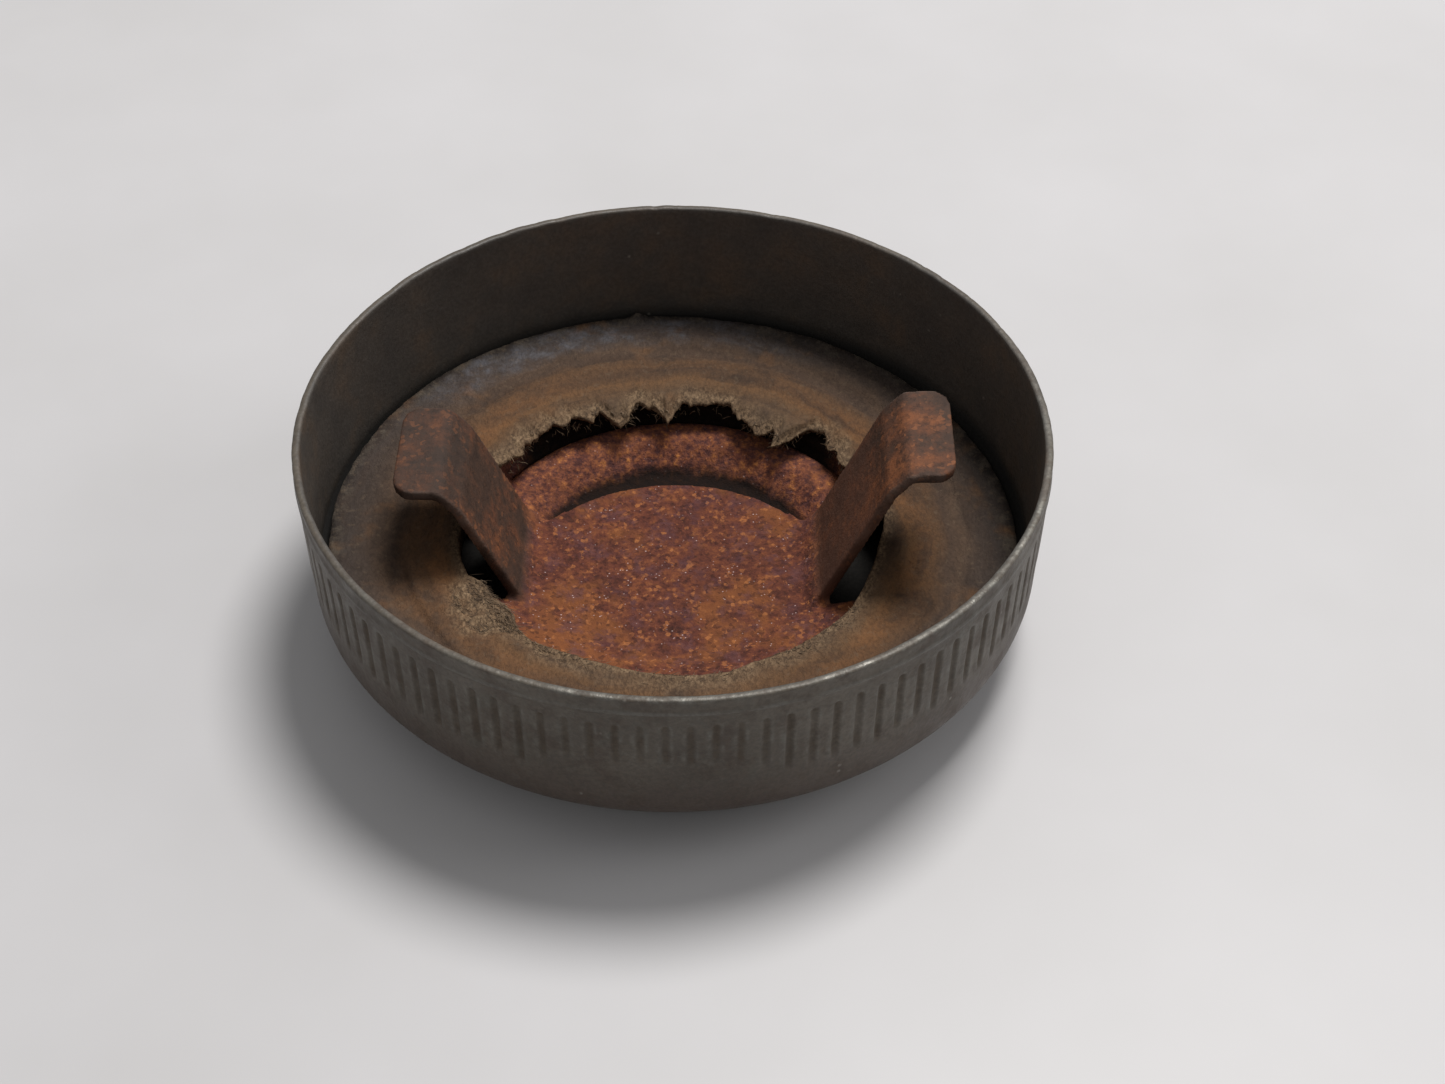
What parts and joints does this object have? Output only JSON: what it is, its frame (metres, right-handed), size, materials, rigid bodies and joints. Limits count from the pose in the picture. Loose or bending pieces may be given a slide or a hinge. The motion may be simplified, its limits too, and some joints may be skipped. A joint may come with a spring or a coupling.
{
  "type": "fuel tank cap",
  "caption": "Round stamped-steel twist-on tank cap with a fluted skirt, a torn fibre gasket and a rusted inner plate whose bent ears hook under a filler neck.",
  "frame": {"origin": "centre of the crown's outer face, which is the lowest face when the cap lies mouth up", "axes": "+Z along the cap's axis, out of its mouth; the two ears stand along X, with the pressed pocket of the lock plate on the +Y side"},
  "size_m": [0.0802, 0.0802, 0.0239],
  "materials": {
    "shell_steel": "dark brown patina with a worn bright rim",
    "gasket_fibre": "stained, fibrous, torn at its inner edge",
    "rusted_steel": "heavy grainy rust"
  },
  "bodies": {
    "root": {"cap_shell": "shell_steel", "gasket": "gasket_fibre", "lock_plate": "rusted_steel"}
  },
  "joints": []
}
